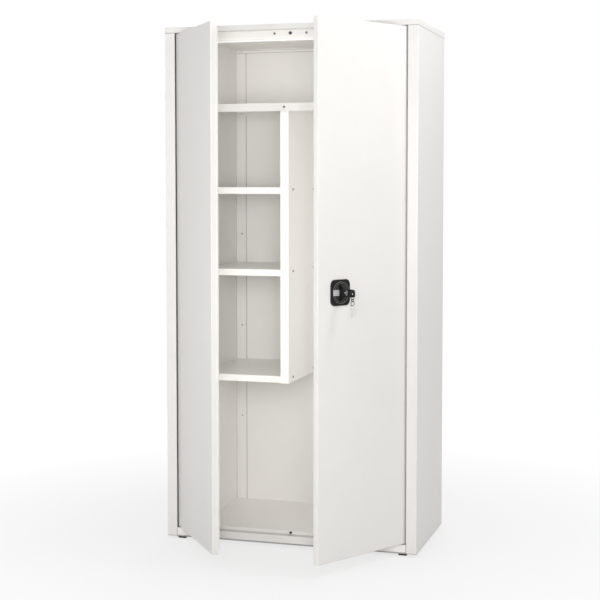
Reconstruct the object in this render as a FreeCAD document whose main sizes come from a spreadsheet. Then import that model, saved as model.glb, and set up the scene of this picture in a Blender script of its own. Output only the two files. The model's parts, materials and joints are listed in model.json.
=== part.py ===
import FreeCAD, Part
import os
import re
import Sketcher

# Utility cabinet in folded sheet steel: two inset hinged doors, a hat shelf over the full
# width, three half-width shelves beside a divider, and a turn-handle lock whose pinion
# drives an upper and a lower rod. Millimetres. +X right, +Y back, +Z up. The origin is
# on the ground, in the middle of the body's footprint. The doors stand open.

SIZES = [
    # Whole body
    ("width", 900),
    ("depth", 450),
    ("height", 1800),
    ("sheet", 1),
    ("bend", 2.5),
    ("seam", 0.4),
    ("overrun", 5),
    # Feet
    ("foot_height", 10),
    ("foot_size", 30),
    ("foot_from_side", 50),
    ("foot_from_front", 27),
    ("foot_taper", 3),
    # Side panels and cap
    ("front_flange", 37),
    ("jamb_depth", 37),
    ("rear_flange", 25),
    ("end_flange", 45),
    ("end_flange_start", 28),
    ("cap_lip", 19),
    # Rebate round the doors
    ("rebate", 25),
    ("rail_drop", 37),
    ("rail_return", 15),
    ("sill_height", 31),
    ("sill_return", 16),
    ("floor_rise", 11),
    ("floor_lip", 26),
    ("ceiling_drop", 18),
    ("ceiling_lip", 14),
    # Inner side wall, divider and shelves
    ("wall_inset", 103),
    ("wall_setback", 39),
    ("wall_rear_flange", 38),
    ("wall_front_flange", 93),
    ("divider_offset", 7),
    ("divider_flange", 29),
    ("divider_gap", 0.7),
    ("divider_foot", 24),
    ("hat_shelf_level", 1534),
    ("hat_shelf_lip", 27),
    ("upper_shelf_level", 1246),
    ("middle_shelf_level", 962),
    ("lower_shelf_level", 592),
    ("shelf_lip", 23),
    ("shelf_hem", 10),
    ("shelf_setback", 28),
    ("shelf_rear_lip", 20),
    ("shelf_end_lip", 18),
    ("bracket_size", 24),
    ("bracket_depth", 75),
    ("bracket_rear_inset", 76),
    # Buffers
    ("upper_buffer_drop", 11),
    ("upper_buffer_radius", 5.5),
    ("lower_buffer_radius", 4.5),
    ("buffer_height", 4.6),
    ("buffer_edge", 1.2),
    # Doors
    ("door_side_gap", 4),
    ("door_middle_gap", 3.5),
    ("door_top_gap", 3.2),
    ("door_bottom_gap", 3.5),
    ("door_thickness", 20),
    ("door_return", 20),
    ("door_fold", 2.5),
    ("stiffener_from_hinge", 150),
    ("stiffener_width", 60),
    ("stiffener_flange", 14),
    ("stiffener_end_gap", 30),
    ("stop_strip_land", 18),
    ("stop_strip_lap", 12),
    ("stop_strip_wall", 1.2),
    ("stop_strip_joggle", 0.6),
    ("stop_strip_end_gap", 20),
    ("left_door_angle", 52.4),
    ("right_door_angle", 59.1),
    # Hinges
    ("hinge_inset", 10),
    ("hinge_setback", 7),
    ("hinge_low", 170),
    ("hinge_high", 83),
    ("hinge_count", 3),
    ("arm_thickness", 3),
    ("arm_width", 5),
    ("eye_radius", 5.5),
    ("arm_reach", 26),
    ("tab_thickness", 2),
    ("tab_depth", 10),
    ("tab_height", 34),
    ("pin_radius", 3),
    ("pin_clearance", 0.08),
    ("ear_gap", 0.7),
    ("ear_wall", 2),
    ("ear_length", 10),
    ("ear_rear", 5),
    ("ear_front_gap", 0.6),
    ("clip_foot", 16),
    ("clip_height", 28),
    ("slot_play", 1.5),
    ("slot_front_gap", 0.7),
    # Lock on the right door
    ("lock_from_hinge", 315),
    ("lock_level", 911),
    ("plate_size", 84),
    ("plate_corner", 18),
    ("plate_height", 5),
    ("plate_edge", 2),
    ("collar_radius", 33),
    ("collar_height", 1.5),
    ("collar_wall", 7),
    ("boss_radius", 17),
    ("boss_wall", 3.5),
    ("seat_margin", 1.5),
    ("pad_width", 26),
    ("pad_height", 19),
    ("pad_offset", 23),
    ("pad_corner", 1.5),
    ("pad_wall", 1),
    ("hub_radius", 9.5),
    ("hub_gap", 0.3),
    ("grip_clearance", 0.5),
    ("grip_length", 58),
    ("grip_crown", 22),
    ("grip_width", 20),
    ("grip_end_height", 5),
    ("grip_height", 22),
    ("grip_edge", 2.5),
    ("spindle_radius", 5),
    ("spindle_tail_radius", 4),
    ("spindle_clearance", 0.08),
    ("skin_hole_play", 1),
    ("case_half_width", 29),
    ("case_flange", 12),
    ("case_length", 64),
    ("case_depth", 16.5),
    ("case_wall", 1.5),
    ("tooth_count", 12),
    ("tooth_module", 2),
    ("tooth_backlash", 0.6),
    ("tooth_tip_gap", 0.5),
    ("gap_root_share", 0.2),
    ("gap_tip_share", 0.5),
    ("flank_share", 0.364),
    ("pinion_width", 4),
    ("rack_setback", 10),
    ("rod_thickness", 3),
    ("rod_width", 10),
    ("rod_recess", 0.6),
    ("rod_play", 0.4),
    ("rack_teeth", 6),
    ("rack_tooth_lead", 1),
    ("rack_back", 7),
    ("rack_jog", 12),
    ("rack_jog_gap", 2),
    ("rack_end_margin", 4),
    ("guide_length", 14),
    ("guide_wall", 1.5),
    ("guide_flange", 8),
    ("guide_end_gap", 60),
    ("guide_pitch", 380),
    ("keeper_length", 30),
    ("keeper_width", 9),
    # Barrel, key and ring
    ("barrel_radius", 8),
    ("barrel_length", 15),
    ("barrel_proud", 2),
    ("core_radius", 5.5),
    ("core_proud", 1),
    ("keyway_width", 8.4),
    ("keyway_gap", 2.5),
    ("key_width", 8),
    ("key_wall", 2),
    ("key_depth", 12),
    ("key_play", 0.05),
    ("core_end_play", 0.2),
    ("key_neck", 3.5),
    ("key_head_length", 31),
    ("key_head_width", 25),
    ("key_head_wall", 5),
    ("key_head_corner", 8),
    ("key_hole_radius", 4),
    ("key_hole_margin", 10),
    ("key_root", 6),
    ("ring_radius", 7.4),
    ("link_radius", 4.4),
    ("ring_wire", 0.9),
    ("ring_half_width", 0.54),
    ("ring_play", 0.8),
    ("link_play", 0.3),
    ("spare_head_width", 20),
    ("spare_head_length", 18),
    ("spare_head_corner", 6),
    ("spare_hole_radius", 3),
    ("spare_hole_margin", 5),
    ("spare_blade_length", 22),
    ("spare_blade_width", 7),
    ("spare_wall", 2.2),
]

# Places and sizes that follow from the ones above
WORKED_OUT = {
    "left": "-width / 2",
    "right": "width / 2",
    "front": "-depth / 2",
    "back": "depth / 2",
    "jamb": "width / 2 - front_flange",
    "side_top": "height - cap_lip - seam",
    "web": "width / 2 - sheet",
    "inner_bend": "bend - sheet",
    "rebate_face": "front + rebate",
    "rail_top": "height - cap_lip",
    "rail_bottom": "rail_top - rail_drop",
    "ledge": "foot_height + sill_height",
    "floor_top": "ledge + floor_rise",
    "back_face": "back - 2 * sheet",
    "ceiling": "rail_top - ceiling_drop",
    "wall_x": "left + wall_inset",
    "wall_front": "front + wall_setback",
    "divider_x": "-divider_offset",
    "shelf_front": "front + shelf_setback",
    "shelf_back": "back_face - sheet",
    "divider_front": "door_back + stop_strip_joggle + stop_strip_wall + divider_gap",
    "divider_bottom": "lower_shelf_level - divider_foot",
    "lip_bottom": "hat_shelf_level - hat_shelf_lip",
    "upper_buffer_level": "rail_top - upper_buffer_drop",
    "lower_buffer_level": "floor_top - floor_rise / 2",
    "door_edge": "jamb - door_side_gap",
    "door_middle": "door_middle_gap / 2",
    "door_top": "rail_top - door_top_gap",
    "door_bottom": "ledge + door_bottom_gap",
    "door_back": "front + door_thickness",
    "skin": "front + sheet",
    "hinge_x": "jamb - hinge_inset",
    "hinge_y": "front + hinge_setback",
    "hinge_z": "door_bottom + hinge_low",
    "hinge_pitch": "(door_top - hinge_high - hinge_z) / (hinge_count - 1)",
    "ear_start": "arm_thickness / 2 + ear_gap",
    "ear_end": "ear_start + ear_wall",
    "lock_x": "jamb - lock_from_hinge",
    "plate_face": "front - plate_height",
    "collar_face": "plate_face - collar_height",
    "hub_face": "collar_face - hub_gap",
    "grip_base": "collar_face - pad_wall - grip_clearance",
    "grip_face": "grip_base - grip_height",
    "pad_x": "lock_x - pad_offset",
    "pitch_radius": "tooth_module * tooth_count / 2",
    "tooth_pitch": "tooth_module * pi",
    "tip_radius": "pitch_radius + tooth_module",
    "root_radius": "pitch_radius - tooth_module - tooth_tip_gap",
    "tooth_half": "tooth_pitch / 4 - tooth_backlash / 2",
    "rack_front": "skin + rack_setback - rod_thickness / 2",
    "rack_rear": "rack_front + rod_thickness",
    "rack_centre": "skin + rack_setback",
    "case_back": "skin + case_depth",
    "rod_side": "rod_width / 2",
    "rack_line": "pitch_radius + tooth_module + tooth_tip_gap",
    "rack_edge": "rack_line + rack_back",
    "rack_tip": "pitch_radius - tooth_module",
    "rack_end": "tooth_pitch * (rack_teeth - 1 - rack_tooth_lead) + rack_end_margin",
    "jog_start": "tip_radius + rack_jog_gap",
    "jog_end": "jog_start + rack_jog",
    "upper_tip": "door_top - rod_recess",
    "lower_tip": "door_bottom + rod_recess",
    "guide_half": "rod_width / 2 + rod_play + guide_wall",
    "guide_back": "rack_rear + rod_play + guide_wall",
    "core_face": "grip_face - barrel_proud - core_proud",
    "key_head_start": "core_face - key_neck",
    "key_head_end": "key_head_start - key_head_length",
    "key_hole_y": "key_head_end + key_hole_margin",
    "key_hole_level": "lock_level - key_head_width / 2 + key_hole_margin",
    "ring_top": "key_hole_level - key_hole_radius + ring_wire + ring_play",
    "ring_level": "ring_top - ring_radius",
    "link_level": "ring_level - ring_radius + 2 * ring_wire + link_play - link_radius",
    "lower_ring_top": "link_level - link_radius + 2 * ring_wire + link_play",
    "lower_ring_level": "lower_ring_top - ring_radius",
    "spare_hang": "spare_hole_radius - ring_wire - link_play",
    "spare_hole_level": "lower_ring_level - ring_radius - spare_hang",
    "spare_top": "spare_hole_level + spare_hole_margin",
    "spare_shoulder": "spare_top - spare_head_length",
}

CELLS = [name for name, _ in SIZES]
PLANES = {"XY_Plane": 2, "XZ_Plane": 1, "YZ_Plane": 0}

os.makedirs("parts", exist_ok=True)
doc = FreeCAD.newDocument("utility_cabinet")
size = doc.addObject("Spreadsheet::Sheet", "size")
for row, (alias, number) in enumerate(SIZES, 1):
    size.set(f"A{row}", alias)
    size.set(f"B{row}", str(number))
    size.setAlias(f"B{row}", alias)
doc.recompute()


def formula(text):
    """Writes out the names in a sum as cells of the sheet."""

    def written_out(found):
        word = found.group()
        if word in WORKED_OUT:
            return "(" + formula(WORKED_OUT[word]) + ")"
        return "size." + word if word in CELLS else word

    return re.sub(r"[a-z_]+[a-z_0-9]*", written_out, str(text))


def value(text):
    """Works a sum out now, for a starting place or a choice."""
    found = size.evalExpression(formula(text))
    return float(getattr(found, "Value", found))


def new_body(label):
    body = doc.addObject("PartDesign::Body", label)
    body.Label = label
    body.AllowCompound = True
    return body


def plane_of(body, role):
    return next(part for part in body.Origin.OriginFeatures if part.Role == role)


def add_sketch(body, role, level):
    """A sketch on the body's own plane, moved along its normal to a level."""
    sketch = body.newObject("Sketcher::SketchObject", body.Label + "_sketch")
    sketch.AttachmentSupport = [(plane_of(body, role), "")]
    sketch.MapMode = "FlatFace"
    away = f"-({level})" if role == "XZ_Plane" else level
    sketch.setExpression("AttachmentOffset.Base.z", formula(away))
    return sketch


def hold(sketch, kind, *where):
    """A dimension of the sketch, bound to the sum that comes last."""
    *places, text = where
    index = sketch.addConstraint(Sketcher.Constraint(kind, *places, value(text)))
    sketch.setExpression(f"Constraints[{index}]", formula(text))


def draw_polygon(sketch, points):
    """Straight edges through points whose places are all held."""
    places = [FreeCAD.Vector(value(a), value(b), 0) for a, b in points]
    first = sketch.GeometryCount
    count = len(points)
    for turn in range(count):
        sketch.addGeometry(Part.LineSegment(places[turn], places[(turn + 1) % count]), False)
    for turn in range(count):
        after = first + (turn + 1) % count
        sketch.addConstraint(Sketcher.Constraint("Coincident", first + turn, 2, after, 1))
    for turn, (a, b) in enumerate(points):
        hold(sketch, "DistanceX", -1, 1, first + turn, 1, a)
        hold(sketch, "DistanceY", -1, 1, first + turn, 1, b)


def draw_rounded(sketch, points, radii):
    """Level and upright edges, with an arc at each corner that has a radius."""
    count = len(points)
    places = [FreeCAD.Vector(value(a), value(b), 0) for a, b in points]
    along = [(places[(i + 1) % count] - places[i]).normalize() for i in range(count)]
    reach = [value(radius) if radius else 0 for radius in radii]
    lines = []
    for i in range(count):
        start = places[i] + along[i] * reach[i]
        end = places[(i + 1) % count] - along[i] * reach[(i + 1) % count]
        lines.append(sketch.addGeometry(Part.LineSegment(start, end), False))
        level = abs(along[i].y) < abs(along[i].x)
        sketch.addConstraint(Sketcher.Constraint("Horizontal" if level else "Vertical", lines[i]))
        hold(sketch, "DistanceY" if level else "DistanceX", -1, 1, lines[i], 1, points[i][level])
    for i in range(count):
        before = lines[i - 1]
        if not radii[i]:
            sketch.addConstraint(Sketcher.Constraint("Coincident", before, 2, lines[i], 1))
            continue
        centre = places[i] + (along[i] - along[i - 1]) * reach[i]
        leaving = (places[i] - along[i - 1] * reach[i] - centre).normalize()
        arriving = (places[i] + along[i] * reach[i] - centre).normalize()
        turns_left = along[i - 1].cross(along[i]).z > 0
        a, b = (leaving, arriving) if turns_left else (arriving, leaving)
        circle = Part.Circle(centre, FreeCAD.Vector(0, 0, 1), reach[i])
        arc = Part.ArcOfCircle(circle, circle.parameter(centre + a * reach[i]),
                               circle.parameter(centre + b * reach[i]))
        drawn = sketch.addGeometry(arc, False)
        first, last = (1, 2) if turns_left else (2, 1)
        sketch.addConstraint(Sketcher.Constraint("Tangent", before, 2, drawn, first))
        sketch.addConstraint(Sketcher.Constraint("Tangent", drawn, last, lines[i], 1))
        hold(sketch, "Radius", drawn, radii[i])


def draw_circle(sketch, a, b, radius):
    centre = FreeCAD.Vector(value(a), value(b), 0)
    drawn = sketch.addGeometry(
        Part.Circle(centre, FreeCAD.Vector(0, 0, 1), value(radius)), False)
    hold(sketch, "DistanceX", -1, 1, drawn, 3, a)
    hold(sketch, "DistanceY", -1, 1, drawn, 3, b)
    hold(sketch, "Radius", drawn, radius)


def many_sided(a, b, radius, sides=24):
    """A regular outline in place of a circle, on moulded and bent trifles."""
    return [(f"{a} + ({radius}) * cos({turn} * 360 deg / {sides})",
             f"{b} + ({radius}) * sin({turn} * 360 deg / {sides})") for turn in range(sides)]


def draw(sketch, shape):
    """Draws a polygon, a rounded outline as (points, radii), or a circle."""
    if isinstance(shape, list):
        draw_polygon(sketch, shape)
    elif len(shape) == 2:
        draw_rounded(sketch, *shape)
    else:
        draw_circle(sketch, *shape)


def add_solid(body, role, shapes, low, high):
    """Pads the shapes from low to high along the plane's axis."""
    start = high if role == "XZ_Plane" else low
    sketch = add_sketch(body, role, start)
    for shape in shapes:
        draw(sketch, shape)
    pad = body.newObject("PartDesign::Pad", body.Label + "_pad")
    pad.Profile = sketch
    pad.setExpression("Length", formula(f"({high}) - ({low})"))
    body.Tip = pad
    return pad


def cut_away(body, role, shapes, low, high):
    """Cuts the shapes out from low to high along the plane's axis."""
    start = low if role == "XZ_Plane" else high
    sketch = add_sketch(body, role, start)
    for shape in shapes:
        draw(sketch, shape)
    pocket = body.newObject("PartDesign::Pocket", body.Label + "_cut")
    pocket.Profile = sketch
    pocket.setExpression("Length", formula(f"({high}) - ({low})"))
    body.Tip = pocket
    return pocket


def rectangle(a0, b0, a1, b1):
    return [(a0, b0), (a1, b0), (a1, b1), (a0, b1)]


def rounded_rectangle(a0, b0, a1, b1, radius):
    return (rectangle(a0, b0, a1, b1), [radius] * 4)


def folded(path, side, wall="sheet", rounds=None):
    """The section of a folded sheet. The path is one face of it; the wall lies to its
    left for side 1 and to its right for side -1. The folds at the places in the path that
    rounds names get their two radii, or all of them do; the rest are pressed sharp."""
    places = [FreeCAD.Vector(value(a), value(b), 0) for a, b in path]
    along = [(q - p).normalize() for p, q in zip(places, places[1:])]
    inward = [FreeCAD.Vector(-d.y * side, d.x * side, 0) for d in along]
    offset_path, face_radii, offset_radii = [], [], []
    for i, (a, b) in enumerate(path):
        around = inward[max(i - 1, 0):i + 1]
        step_a = round(sum(n.x for n in around)) if len(around) > 1 else round(around[0].x)
        step_b = round(sum(n.y for n in around)) if len(around) > 1 else round(around[0].y)
        offset_path.append((f"{a} + ({step_a}) * {wall}", f"{b} + ({step_b}) * {wall}"))
        if len(around) < 2 or (rounds is not None and i not in rounds):
            face_radii.append(None)
            offset_radii.append(None)
            continue
        folds_to_wall = along[i - 1].cross(along[i]).z * side > 0
        outer, inner = "bend", f"bend - {wall}"
        face_radii.append(outer if folds_to_wall else inner)
        offset_radii.append(inner if folds_to_wall else outer)
    return (path + offset_path[::-1], face_radii + offset_radii[::-1])


def mirrored(path):
    return [(f"-({a})", b) for a, b in path]


def edges_near(body, places):
    """Names of the edges that pass through the given places."""
    doc.recompute()
    shape = body.Tip.Shape
    touch = value("sheet") / 100
    names = []
    for place in places:
        spot = Part.Vertex(FreeCAD.Vector(*[value(text) for text in place]))
        for number, edge in enumerate(shape.Edges, 1):
            if edge.distToShape(spot)[0] < touch:
                names.append(f"Edge{number}")
    return sorted(set(names))


def dress(body, kind, amount, places):
    """A fillet or a chamfer along the edges at the given places."""
    names = edges_near(body, places)
    base = body.Tip
    feature = body.newObject("PartDesign::" + kind, body.Label + "_" + kind.lower())
    feature.Base = (base, names)
    feature.setExpression("Radius" if kind == "Fillet" else "Size", formula(amount))
    body.Tip = feature
    return feature


def hollow_out(body, place, wall="sheet"):
    """Turns the block into a tray that is open at the face through the place."""
    doc.recompute()
    spot = Part.Vertex(FreeCAD.Vector(*[value(text) for text in place]))
    touch = value("sheet") / 100
    names = [f"Face{number}" for number, face in enumerate(body.Tip.Shape.Faces, 1)
             if face.distToShape(spot)[0] < touch]
    base = body.Tip
    feature = body.newObject("PartDesign::Thickness", body.Label + "_tray")
    feature.Base = (base, names)
    feature.setExpression("Value", formula(wall))
    feature.Reversed = True
    body.Tip = feature


def repeat_up(body, features, pitch, count):
    """Repeats features up the body at an even pitch."""
    pattern = body.newObject("PartDesign::LinearPattern", body.Label + "_row")
    pattern.Originals = features
    pattern.Direction = (plane_of(body, "Z_Axis"), [""])
    pattern.setExpression("Length", formula(f"({pitch}) * (({count}) - 1)"))
    pattern.setExpression("Occurrences", formula(count))
    body.Tip = pattern
    return pattern


# Side panels

SIDE_PATH = [
    ("-(jamb)", "front + jamb_depth"),
    ("-(jamb)", "front"),
    ("left", "front"),
    ("left", "back"),
    ("left + rear_flange", "back"),
]


def side_panel(label, path, side, outer, inner):
    """A folded side: front flange, jamb, web and rear flange, with a flange at each end."""
    body = new_body(label)
    add_solid(body, "XY_Plane", [folded(path, side)], "foot_height", "side_top")
    low, high = sorted([outer, inner], key=value)
    flange = [rectangle(low, "front + end_flange_start", high, "back - sheet")]
    add_solid(body, "XY_Plane", flange, "foot_height", "foot_height + sheet")
    add_solid(body, "XY_Plane", flange, "side_top - sheet", "side_top")
    sign = "" if side > 0 else "-"
    ends = sorted([f"{sign}(web)", f"{sign}(web - sheet)"], key=value)
    tongue = [rectangle(ends[0], "front + end_flange_start", ends[1], "back - 2 * bend")]
    add_solid(body, "XY_Plane", tongue, "side_top - sheet", "height - bend")
    return body


left_side_panel = side_panel(
    "left_side_panel", SIDE_PATH, -1, "left + sheet / 2", "left + end_flange")
right_side_panel = side_panel(
    "right_side_panel", mirrored(SIDE_PATH), 1, "right - sheet / 2", "right - end_flange")

# Back panel, held between the webs by the rear flanges of the sides

back_panel = new_body("back_panel")
add_solid(back_panel, "XY_Plane", [rectangle("-(web) + inner_bend", "back_face", "web - inner_bend", "back - sheet")],
          "foot_height + sheet", "side_top - sheet")

# Cap: a lid whose lip hangs over the top of the body

top_cap = new_body("top_cap")
add_solid(top_cap, "XY_Plane", [rectangle("left", "front", "right", "back")],
          "height - cap_lip", "height")
dress(top_cap, "Fillet", "bend", [("0", "front", "height")])
hollow_out(top_cap, ("0", "0", "height - cap_lip"))

# Ceiling under the cap, with an upstand behind the front rail and a lip on the back

CEILING_PATH = [
    ("rebate_face + sheet", "ceiling + ceiling_lip"),
    ("rebate_face + sheet", "ceiling"),
    ("back_face - 2 * sheet", "ceiling"),
    ("back_face - 2 * sheet", "ceiling - ceiling_lip"),
]
ceiling_panel = new_body("ceiling_panel")
add_solid(ceiling_panel, "YZ_Plane", [folded(CEILING_PATH, 1, rounds=[])], "-(web)", "web")

# Rail over the doors: the roof of the rebate, the stop face and its hem

RAIL_PATH = [
    ("front + sheet + seam", "rail_top - seam"),
    ("rebate_face", "rail_top - seam"),
    ("rebate_face", "rail_bottom"),
    ("rebate_face + rail_return", "rail_bottom"),
]
KEEPER = rectangle("lock_x - keeper_length / 2", "rack_centre - keeper_width / 2",
                   "lock_x + keeper_length / 2", "rack_centre + keeper_width / 2")
top_front_rail = new_body("top_front_rail")
add_solid(top_front_rail, "YZ_Plane", [folded(RAIL_PATH, 1, rounds=[2])], "-(jamb)", "jamb")
cut_away(top_front_rail, "XY_Plane", [KEEPER], "rail_top - 2 * sheet", "rail_top + 2 * sheet")

JAMB_NOTCHES = [
    rectangle("-(width) / 2", "rebate_face - overrun", "-(jamb) + seam",
              "front + jamb_depth + sheet"),
    rectangle("jamb - seam", "rebate_face - overrun", "width / 2",
              "front + jamb_depth + sheet"),
]
cut_away(ceiling_panel, "XY_Plane", JAMB_NOTCHES, "ceiling - overrun", "rail_top")
cut_away(ceiling_panel, "XY_Plane",
         [rectangle("wall_x - seam", "shelf_back - bend", "wall_x + sheet + bend", "back")],
         "ceiling - ceiling_lip - overrun", "ceiling")

# Sill under the doors: bottom hem, plinth front and ledge

SILL_PATH = [
    ("front + sill_return", "foot_height"),
    ("front", "foot_height"),
    ("front", "ledge"),
    ("rebate_face", "ledge"),
]
bottom_sill = new_body("bottom_sill")
add_solid(bottom_sill, "YZ_Plane", [folded(SILL_PATH, -1, rounds=[2])], "-(jamb)", "jamb")
cut_away(bottom_sill, "XY_Plane", [KEEPER], "ledge - 2 * sheet", "ledge + sheet")

# Floor: a tray with front and rear lips, notched round the jambs

FLOOR_PATH = [
    ("rebate_face", "floor_top - floor_lip"),
    ("rebate_face", "floor_top"),
    ("back_face", "floor_top"),
    ("back_face", "floor_top - floor_lip"),
]
floor_panel = new_body("floor_panel")
add_solid(floor_panel, "YZ_Plane", [folded(FLOOR_PATH, -1, rounds=[1])], "-(web)", "web")
cut_away(floor_panel, "XY_Plane", JAMB_NOTCHES, "floor_top - floor_lip - overrun",
         "floor_top + overrun")
cut_away(floor_panel, "XY_Plane",
         [rectangle("web - bend", "back_face - bend", "web + overrun", "back"),
          rectangle("-(web) - overrun", "wall_front - sheet", "wall_x + sheet", "back"),
          rectangle("wall_x + sheet", "back_face - sheet", "wall_x + wall_rear_flange",
                    "back")],
         "floor_top - floor_lip - overrun", "floor_top + overrun")

# Inner side wall left of the shelves

WALL_PATH = [
    ("wall_x + wall_rear_flange", "back_face"),
    ("wall_x", "back_face"),
    ("wall_x", "wall_front"),
    ("wall_x - wall_front_flange", "wall_front"),
]
SHELF_LEVELS = {
    "upper_shelf": "upper_shelf_level",
    "middle_shelf": "middle_shelf_level",
    "lower_shelf": "lower_shelf_level",
}
inner_side_wall = new_body("inner_side_wall")
add_solid(inner_side_wall, "XY_Plane", [folded(WALL_PATH, 1, rounds=[2])],
          "floor_top - floor_lip", "ceiling")
cut_away(inner_side_wall, "XY_Plane",
         [rectangle("wall_x - wall_front_flange - overrun", "rebate_face", "wall_x + overrun",
                    "rebate_face + rail_return + seam")],
         "rail_bottom - seam", "ceiling + overrun")

# Divider: front flange, web and rear flange, and a tab behind the hat shelf's lip

DIVIDER_PATH = [
    ("divider_x - divider_flange", "divider_front"),
    ("divider_x", "divider_front"),
    ("divider_x", "back_face"),
    ("divider_x - divider_flange", "back_face"),
]
TAB_PATH = [
    ("divider_x - divider_flange", "shelf_front + sheet"),
    ("divider_x", "shelf_front + sheet"),
    ("divider_x", "back_face"),
    ("divider_x - divider_flange", "back_face"),
]
shelf_divider = new_body("shelf_divider")
add_solid(shelf_divider, "XY_Plane", [folded(DIVIDER_PATH, 1, rounds=[1])], "divider_bottom", "lip_bottom")
add_solid(shelf_divider, "XY_Plane", [folded(TAB_PATH, 1, rounds=[1])], "lip_bottom",
          "hat_shelf_level - sheet")
cut_away(shelf_divider, "YZ_Plane",
         [rectangle("shelf_front", "hat_shelf_level - sheet - bend", "shelf_front + sheet + bend",
                    "hat_shelf_level")],
         "divider_x - divider_flange - overrun", "divider_x + overrun")
cut_away(shelf_divider, "XY_Plane",
         [rectangle("divider_x - sheet - bend", "shelf_back - sheet - bend",
                    "divider_x + overrun", "back")],
         "hat_shelf_level - shelf_rear_lip - seam", "hat_shelf_level")

# Hat shelf from the inner side wall to the right side panel

HAT_PATH = [
    ("shelf_front", "lip_bottom"),
    ("shelf_front", "hat_shelf_level"),
    ("shelf_back", "hat_shelf_level"),
    ("shelf_back", "hat_shelf_level - shelf_rear_lip"),
]
hat_shelf = new_body("hat_shelf")
add_solid(hat_shelf, "YZ_Plane", [folded(HAT_PATH, -1, rounds=[1])], "wall_x + sheet", "web")
cut_away(hat_shelf, "XY_Plane", JAMB_NOTCHES[1:], "lip_bottom - overrun",
         "hat_shelf_level + overrun")
REAR_NOTCH_LEFT = rectangle("wall_x", "shelf_back - bend", "wall_x + sheet + bend", "back")
REAR_NOTCH_RIGHT = rectangle("divider_x - sheet - bend", "shelf_back - bend", "divider_x", "back")
cut_away(hat_shelf, "XY_Plane", [REAR_NOTCH_LEFT], "lip_bottom - overrun",
         "hat_shelf_level + overrun")

# Half-width shelves: hemmed front lip, rear lip and a lip at each end


def half_shelf(label, level):
    body = new_body(label)
    path = [
        ("shelf_front + shelf_hem", f"{level} - shelf_lip"),
        ("shelf_front", f"{level} - shelf_lip"),
        ("shelf_front", level),
        ("shelf_back", level),
        ("shelf_back", f"{level} - shelf_rear_lip"),
    ]
    add_solid(body, "YZ_Plane", [folded(path, -1, rounds=[2])], "wall_x + sheet",
              "divider_x - sheet")
    lip = [rectangle("shelf_front + sheet / 2", f"{level} - shelf_end_lip",
                     "shelf_back - sheet / 2", f"{level} - sheet / 2")]
    add_solid(body, "YZ_Plane", lip, "wall_x + sheet", "wall_x + 2 * sheet")
    add_solid(body, "YZ_Plane", lip, "divider_x - 2 * sheet", "divider_x - sheet")
    cut_away(body, "XY_Plane", [REAR_NOTCH_LEFT, REAR_NOTCH_RIGHT],
             f"{level} - shelf_lip - overrun", f"{level} + overrun")
    return body


shelves = [half_shelf(label, level) for label, level in SHELF_LEVELS.items()]

# Brackets that hang the divider under the hat shelf

BRACKET_PATH = [
    ("divider_x - sheet - bracket_size", "hat_shelf_level - sheet"),
    ("divider_x - sheet", "hat_shelf_level - sheet"),
    ("divider_x - sheet", "hat_shelf_level - sheet - bracket_size"),
]
divider_brackets = new_body("divider_brackets")
for place in ("front + bracket_depth", "back - bracket_rear_inset"):
    add_solid(divider_brackets, "XZ_Plane", [folded(BRACKET_PATH, -1, rounds=[])],
              f"{place} - bracket_size / 2", f"{place} + bracket_size / 2")

# Rubber buffers that the closed doors rest on


def door_buffer(label, level, radius):
    body = new_body(label)
    add_solid(body, "XZ_Plane", [many_sided("0", level, radius)],
              "rebate_face - buffer_height + buffer_edge", "rebate_face")
    add_solid(body, "XZ_Plane", [many_sided("0", level, f"{radius} - buffer_edge")],
              "rebate_face - buffer_height", "rebate_face - buffer_height + buffer_edge")
    return body


upper_buffer = door_buffer("upper_buffer", "upper_buffer_level", "upper_buffer_radius")
lower_buffer = door_buffer("lower_buffer", "lower_buffer_level", "lower_buffer_radius")

# Feet


def foot(label, a, b):
    body = new_body(label)
    half = "foot_size / 2"
    add_solid(body, "XY_Plane",
              [rectangle(f"{a} - {half}", f"{b} - {half}", f"{a} + {half}", f"{b} + {half}")],
              "0", "foot_height")
    dress(body, "Chamfer", "foot_taper", [
        (a, f"{b} - {half}", "0"), (a, f"{b} + {half}", "0"),
        (f"{a} - {half}", b, "0"), (f"{a} + {half}", b, "0")])
    return body


feet = [
    foot("front_left_foot", "left + foot_from_side", "front + foot_from_front"),
    foot("front_right_foot", "right - foot_from_side", "front + foot_from_front"),
    foot("rear_left_foot", "left + foot_from_side", "back - foot_from_front"),
    foot("rear_right_foot", "right - foot_from_side", "back - foot_from_front"),
]

# Hinges, drawn for the right-hand side. The arm reaches from the jamb round the back of
# the door to the pin, so that the closed door hides it.


def on_side(path, side):
    return path if side > 0 else mirrored(path)


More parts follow.
